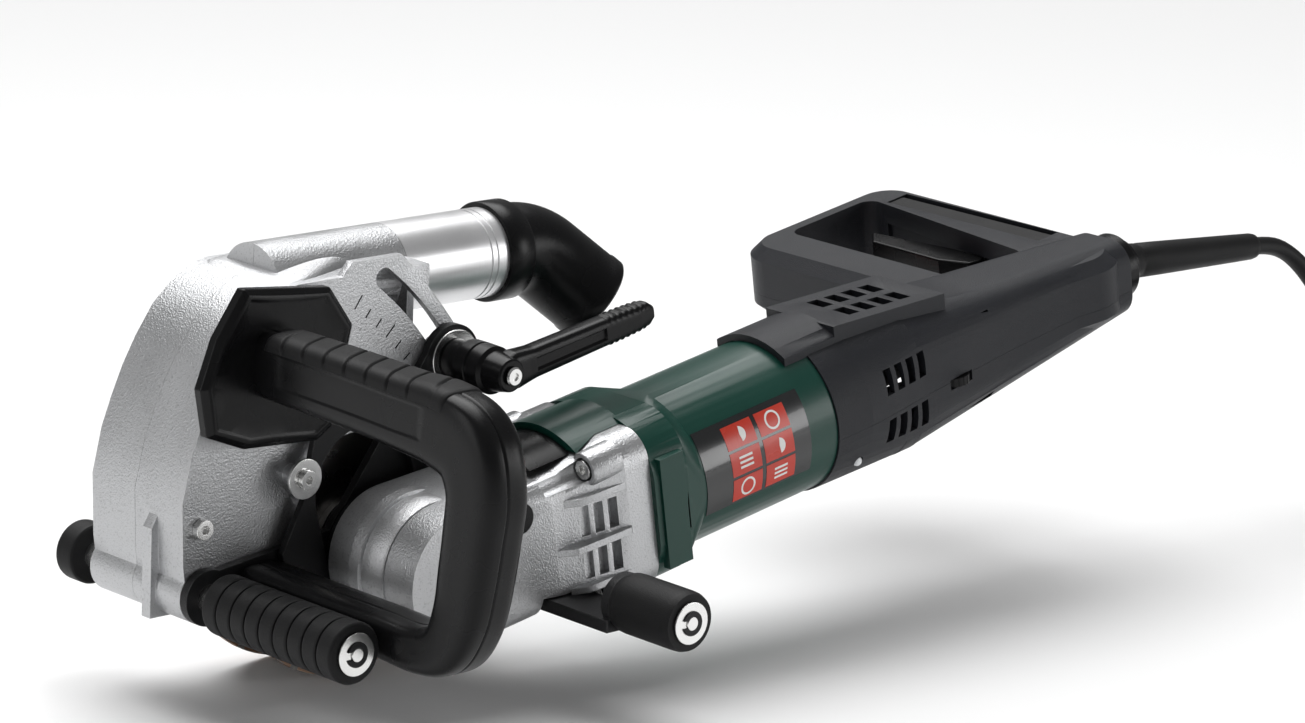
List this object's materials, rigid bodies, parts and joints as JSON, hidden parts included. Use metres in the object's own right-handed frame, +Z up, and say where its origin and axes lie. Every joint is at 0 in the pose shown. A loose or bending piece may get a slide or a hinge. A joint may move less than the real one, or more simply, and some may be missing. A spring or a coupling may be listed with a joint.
{
  "type": "wall chaser",
  "caption": "Handheld wall chaser: paired diamond discs in a cast hood on rollers, suction duct, angled motor unit, loop handles and mains cord.",
  "frame": {"origin": "middle of the machine (without its mains cord) on the plane under the lowest points of the discs", "axes": "+X from the discs to the rear handle, +Y to the side away from the gear case, +Z up"},
  "size_m": [0.77, 0.3401, 0.1974],
  "materials": {
    "cast": "bead-blasted casting",
    "turned": "turned tube",
    "steel": "bright zinc",
    "tool_steel": "ground steel",
    "diamond": "sintered rim",
    "black": "textured black plastic",
    "graphite": "fine-textured glass-filled plastic",
    "green": "satin petrol green plastic",
    "rubber": "moulded rubber",
    "label": "printed film",
    "red": "red plastic",
    "copper": "copper winding",
    "lens": "clear lens",
    "cord": "rubber sheath",
    "powder": "powder-coated steel"
  },
  "bodies": {
    "motor_unit": {"gear_case": "cast", "gear_case_screws": "steel", "bearing_cover": "powder", "depth_arm": "powder", "arm_screws": "steel", "motor_housing": "green", "exhaust_cover": "black", "rating_label": "label", "stator": "steel", "brush_holders": "copper", "motor_bearings": "steel", "handle_upper": "graphite", "handle_lower": "graphite", "handle_screws": "steel", "grip_inlay": "rubber", "switch_block": "black", "status_lens": "lens", "cable_collar": "black", "cord_sleeve": "rubber", "cord": "cord", "cord_coil": "cord", "cord_tie": "rubber", "cord_plug": "rubber"},
    "hood": {"hood_near": "cast", "hood_far": "cast", "hood_screws": "steel", "suction_duct": "turned", "roller_axles": "steel", "rear_carrier": "powder", "roller_washers": "steel", "axle_clips": "powder", "front_handle_base": "black", "front_handle_left": "black", "front_handle_right": "black", "front_grip_pad": "rubber", "neck_guard": "powder", "guard_screws": "steel"},
    "elbow": {"duct_elbow": "black"},
    "front_rings": {"front_roller_rings": "rubber"},
    "front_far_roller": {"front_far_roller": "rubber"},
    "rear_near_roller": {"rear_near_roller": "rubber"},
    "rear_far_roller": {"rear_far_roller": "rubber"},
    "disc_spindle": {"spindle": "tool_steel", "crown_gear": "tool_steel", "disc_near": "diamond", "disc_far": "diamond", "disc_flange": "tool_steel", "disc_spacer": "tool_steel", "disc_nut": "tool_steel"},
    "armature": {"armature_shaft": "tool_steel", "rotor": "copper", "commutator": "copper", "cooling_fan": "graphite", "pinion": "tool_steel"},
    "clamp": {"clamp_lever": "black", "clamp_stud": "steel"},
    "trigger": {"trigger": "black"},
    "lock_off": {"lock_off_button": "red"},
    "speed_wheel": {"speed_wheel": "black"},
    "spindle_lock": {"spindle_lock": "black"}
  },
  "joints": [
    {"name": "depth_swing", "type": "hinge", "parent": "motor_unit", "child": "hood", "pos_m": [-0.2554, 0.0295, 0.054], "axis": [0, 1, 0], "range_deg": [0, 19.5]},
    {"name": "elbow_swivel", "type": "hinge", "parent": "hood", "child": "elbow", "pos_m": [-0.0604, 0.0665, 0.175], "axis": [1, 0, 0], "range_deg": [0, 200]},
    {"name": "front_rings_roll", "type": "hinge", "parent": "hood", "child": "front_rings", "pos_m": [-0.2554, -0.0275, 0.054], "axis": [0, 1, 0], "continuous": true},
    {"name": "front_far_roll", "type": "hinge", "parent": "hood", "child": "front_far_roller", "pos_m": [-0.2554, 0.1135, 0.054], "axis": [0, 1, 0], "continuous": true},
    {"name": "rear_near_roll", "type": "hinge", "parent": "hood", "child": "rear_near_roller", "pos_m": [-0.1114, -0.0835, 0.054], "axis": [0, 1, 0], "continuous": true},
    {"name": "rear_far_roll", "type": "hinge", "parent": "hood", "child": "rear_far_roller", "pos_m": [-0.1114, 0.1085, 0.054], "axis": [0, 1, 0], "continuous": true},
    {"name": "spindle_spin", "type": "hinge", "parent": "motor_unit", "child": "disc_spindle", "pos_m": [-0.1664, 0.0325, 0.0625], "axis": [0, 1, 0], "continuous": true},
    {"name": "armature_spin", "type": "hinge", "parent": "motor_unit", "child": "armature", "pos_m": [-0.04841, -0.0115, 0.08437], "axis": [0.9833, 0, 0.1822], "continuous": true},
    {"name": "clamp_turn", "type": "hinge", "parent": "motor_unit", "child": "clamp", "pos_m": [-0.1224, 0.0165, 0.141], "axis": [0, 1, 0], "range_deg": [-80, 0]},
    {"name": "trigger_pull", "type": "hinge", "parent": "motor_unit", "child": "trigger", "pos_m": [0.22002, 0.1025, 0.13412], "axis": [-0.1822, 0, 0.9833], "range_deg": [0, 4.5], "stiffness_Nm_per_rad": 2, "springref_deg": -5.73},
    {"name": "lock_off_slide", "type": "slide", "parent": "motor_unit", "child": "lock_off", "axis": [0, -1, 0], "range_m": [0, 0.0035], "stiffness_N_per_m": 300, "springref_m": -0.002},
    {"name": "speed_wheel_turn", "type": "hinge", "parent": "motor_unit", "child": "speed_wheel", "pos_m": [0.12994, -0.0375, 0.1098], "axis": [-0.1822, 0, 0.9833], "range_deg": [-150, 150]},
    {"name": "spindle_lock_press", "type": "slide", "parent": "motor_unit", "child": "spindle_lock", "axis": [0, 1, 0], "range_m": [0, 0.0035], "stiffness_N_per_m": 500, "springref_m": -0.002}
  ],
  "couplings": [
    {"joint": "armature_spin", "follows": "spindle_spin", "ratio": -3.3636}
  ]
}
